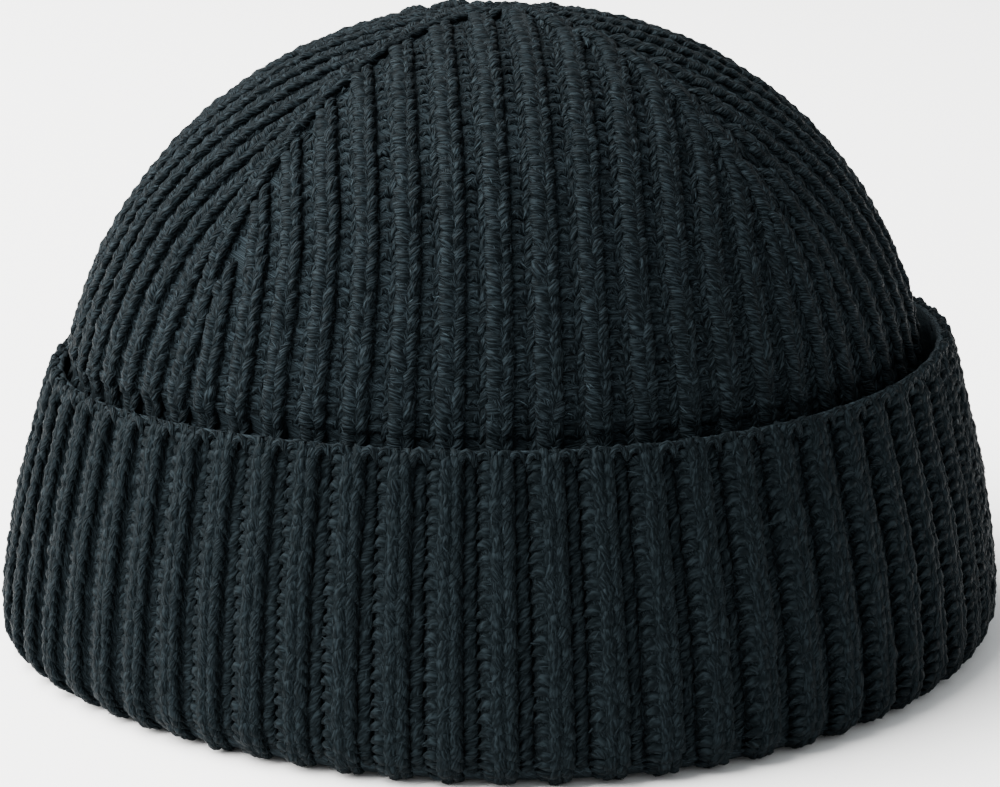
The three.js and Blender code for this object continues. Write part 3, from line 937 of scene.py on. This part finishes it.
# Cuff's backing, row by row: height above the ground or depth under the edge, and inset
CUFF_FOLD_ROWS = ((1.1, 6.4), (1.1, 5.0), (2.6, 3.7), (6.5, 3.1))
CUFF_WALL_INSET = 3.1
CUFF_WALL_ROWS = 10
CUFF_EDGE_ROWS = ((2.3, 3.0), (1.75, 2.5), (1.35, 2.4), (1.2, 2.9))
CUFF_INNER_EDGE = (1.7, 3.6)
CUFF_INNER_EDGE_RIB = 0.3
CUFF_INNER_ROWS = 8
CUFF_WALL_SHARES = (0.2, 0.9)
CUFF_FOOT_ROWS = ((FOLD_HEIGHT, WALL), (FOLD_HEIGHT, 7.4), (3.0, 7.4))


def grid_faces(rows, columns, closed_rows=False):
    """Quads of a grid that closes on itself round its columns, and over its rows where that is asked."""
    row = np.arange(rows if closed_rows else rows - 1)[:, None]
    column = np.arange(columns)[None, :]
    low = row * columns
    high = (row + 1) % rows * columns
    beside = (column + 1) % columns
    return np.stack([low + column, low + beside, high + beside, high + column], -1).reshape(-1, 4)


def fan(columns, base, apex, flip):
    """Triangles from a row of points to one more point."""
    here = base + np.arange(columns)
    beside = base + (np.arange(columns) + 1) % columns
    pair = [beside, here] if flip else [here, beside]
    return np.stack([*pair, np.full(columns, apex)], -1)


def shell_uvs(points, faces):
    """Strand coordinates round a shell and up it, in millimetres."""
    p = points[np.concatenate([part.ravel() for part in faces])]
    return np.stack([p[:, 2] + p[:, 0] * SHELL_UV_SLANT, p[:, 1] + p[:, 0]], -1)


def crown_shell():
    azimuth = (np.arange(SHELL_COLUMNS) + 0.5) * TURN / SHELL_COLUMNS
    rib = 0.5 + 0.5 * np.cos(azimuth * RIBS)
    bottom = np.arccos((FOLD_HEIGHT + CROWN_CLEARANCE - CROWN_CENTRE_Z) / CROWN_REACHES[-1])
    held = np.linspace(bottom, WIDEST, HELD_ROWS)[:-1]
    dome = np.radians(np.linspace(90, DOME_TOP, DOME_ROWS))
    tops = np.concatenate([held, dome])

    def row(top, depth):
        return crown_point(azimuth, np.full(SHELL_COLUMNS, top), -depth)

    def peak(depth):
        return crown_point(np.array([0.0]), np.array([0.0]), -depth)

    outer = [row(top, CROWN_OUTSIDE) for top in tops]
    inner = [row(top, CROWN_INSIDE + INSIDE_RIB * rib) for top in tops[::-1]]
    points = np.concatenate([*outer, peak(CROWN_OUTSIDE), *inner, peak(CROWN_INSIDE_TOP)])
    rows = len(tops)
    outer_peak = rows * SHELL_COLUMNS
    skin = grid_faces(rows, SHELL_COLUMNS)
    inside = skin + outer_peak + 1
    first = np.arange(SHELL_COLUMNS)
    second = (first + 1) % SHELL_COLUMNS
    last = outer_peak + 1 + (rows - 1) * SHELL_COLUMNS
    hem = np.stack([first, last + first, last + second, second], -1)
    outer_cap = fan(SHELL_COLUMNS, (rows - 1) * SHELL_COLUMNS, outer_peak, False)
    inner_cap = fan(SHELL_COLUMNS, outer_peak + 1, len(points) - 1, True)
    faces = [np.concatenate([skin, inside, hem]), np.concatenate([outer_cap, inner_cap])]
    return make_mesh("crown_backing", points, faces, shell_uvs(points, faces))


def cuff_shell():
    angle = (np.arange(SHELL_COLUMNS) + 0.5) * TURN / SHELL_COLUMNS
    rib = 0.5 + 0.5 * np.cos(angle * RIBS)
    top = cuff_top(angle)

    def row(z, inset):
        radius = cuff_radius(angle, z) - inset
        height = np.broadcast_to(z, angle.shape)
        return np.stack([radius * np.cos(angle) + CENTRE_X, radius * np.sin(angle), height], -1)

    low, high = CUFF_WALL_SHARES
    edge_depth, edge_inset = CUFF_INNER_EDGE
    rows = [row(z, inset) for z, inset in CUFF_FOLD_ROWS]
    rows += [row(up * top, CUFF_WALL_INSET) for up in np.linspace(low, high, CUFF_WALL_ROWS)]
    rows += [row(top - depth, inset) for depth, inset in CUFF_EDGE_ROWS]
    rows += [row(top - edge_depth, edge_inset + CUFF_INNER_EDGE_RIB * rib)]
    rows += [row(up * top, WALL - INSIDE_RIB * rib) for up in np.linspace(high, low, CUFF_INNER_ROWS)]
    rows += [row(z, inset) for z, inset in CUFF_FOOT_ROWS]
    points = np.concatenate(rows)
    faces = [grid_faces(len(rows), SHELL_COLUMNS, closed_rows=True)]
    return make_mesh("cuff_backing", points, faces, shell_uvs(points, faces))


# Pieces, in the order of their random draws
crown = crown_paths()
crown_slant = np.array([float(is_stopped(gore, at)) for gore in range(GORES) for at in RIB_PLACES])
Knit(crown, crown.length, crown_slant, CROWN_KNIT).make_pieces("crown", 0, YARN, FUZZ_AND_GLINT)
make_piece(gather_mesh(), YARN, "crown")

cuff = cuff_paths()
cuff_knit = Knit(cuff, cuff.length - EDGE_BACK, np.zeros(RIBS), CUFF_KNIT)
cuff_knit.make_pieces("cuff", -RIBS_PER_GORE // 2, CUFF_YARN_PAINTED_SHADE, CUFF_FUZZ_PAINTED_SHADE)
make_piece(rim_mesh(cuff), YARN, "cuff")

make_piece(crown_shell(), BACKING_PAINTED_FILL, "crown")
make_piece(cuff_shell(), BACKING_PAINTED_FILL, "cuff")

# Floor, surroundings and key light (m)
FLOOR_CORNERS = [(-6, -6, 0), (6, -6, 0), (6, 6, 0), (-6, 6, 0)]
FLOOR_SHADER = {"Base Color": (0.9, 0.9, 0.9, 1), "Roughness": 0.9}
SURROUNDINGS = {"Color": (0.94, 0.98, 1.0, 1), "Strength": 0.86}
KEY_PLACE = (-1.78, 0.04, 1.92)
KEY_TARGET = (0, 0, 0.06)
KEY_SIZE = 3.4
KEY_POWER = 770
KEY_COLOUR = (1.0, 0.99, 0.97)

pale = bpy.data.materials.new("pale_floor")
pale.use_nodes = True
set_sockets(pale.node_tree.nodes["Principled BSDF"], FLOOR_SHADER)
floor_mesh = bpy.data.meshes.new("floor")
floor_mesh.from_pydata(FLOOR_CORNERS, [], [(0, 1, 2, 3)])
floor_mesh.materials.append(pale)
floor = bpy.data.objects.new("floor", floor_mesh)
bpy.context.scene.collection.objects.link(floor)

world = bpy.data.worlds.new("studio")
world.use_nodes = True
set_sockets(world.node_tree.nodes["Background"], SURROUNDINGS)
bpy.context.scene.world = world

key_data = bpy.data.lights.new("key", "AREA")
key_data.size = KEY_SIZE
key_data.energy = KEY_POWER
key_data.color = KEY_COLOUR
key = bpy.data.objects.new("key", key_data)
key.location = KEY_PLACE
key.rotation_euler = (Vector(KEY_TARGET) - Vector(KEY_PLACE)).to_track_quat("-Z", "Y").to_euler()
bpy.context.scene.collection.objects.link(key)

# Camera, fitted to the photo: target and distance in mm, focal length in pixels, clipping in metres
CAMERA_TARGET = np.array([0.98, 0, 47.2])
CAMERA_DISTANCE = 632
CAMERA_ELEVATION = math.radians(14.1)
CAMERA_ROLL = math.radians(-0.98)
FOCAL_LENGTH = 3118
PICTURE_WIDTH = 1000
SENSOR_WIDTH = 36.0
CLIP_START = 0.01

forward = np.array([0, math.cos(CAMERA_ELEVATION), -math.sin(CAMERA_ELEVATION)])
right = np.array([1.0, 0, 0])
up = np.cross(right, forward)
camera_right = math.cos(CAMERA_ROLL) * right + math.sin(CAMERA_ROLL) * up
camera_up = -math.sin(CAMERA_ROLL) * right + math.cos(CAMERA_ROLL) * up
eye = CAMERA_TARGET - CAMERA_DISTANCE * forward
rotation = Matrix([[camera_right[k], camera_up[k], -forward[k]] for k in range(3)])
camera_data = bpy.data.cameras.new("camera")
camera_data.sensor_width = SENSOR_WIDTH
camera_data.lens = FOCAL_LENGTH / PICTURE_WIDTH * SENSOR_WIDTH
camera_data.clip_start = CLIP_START
camera = bpy.data.objects.new("camera", camera_data)
camera.matrix_world = Matrix.Translation([float(v) * MM for v in eye]) @ rotation.to_4x4()
bpy.context.scene.collection.objects.link(camera)
bpy.context.scene.camera = camera
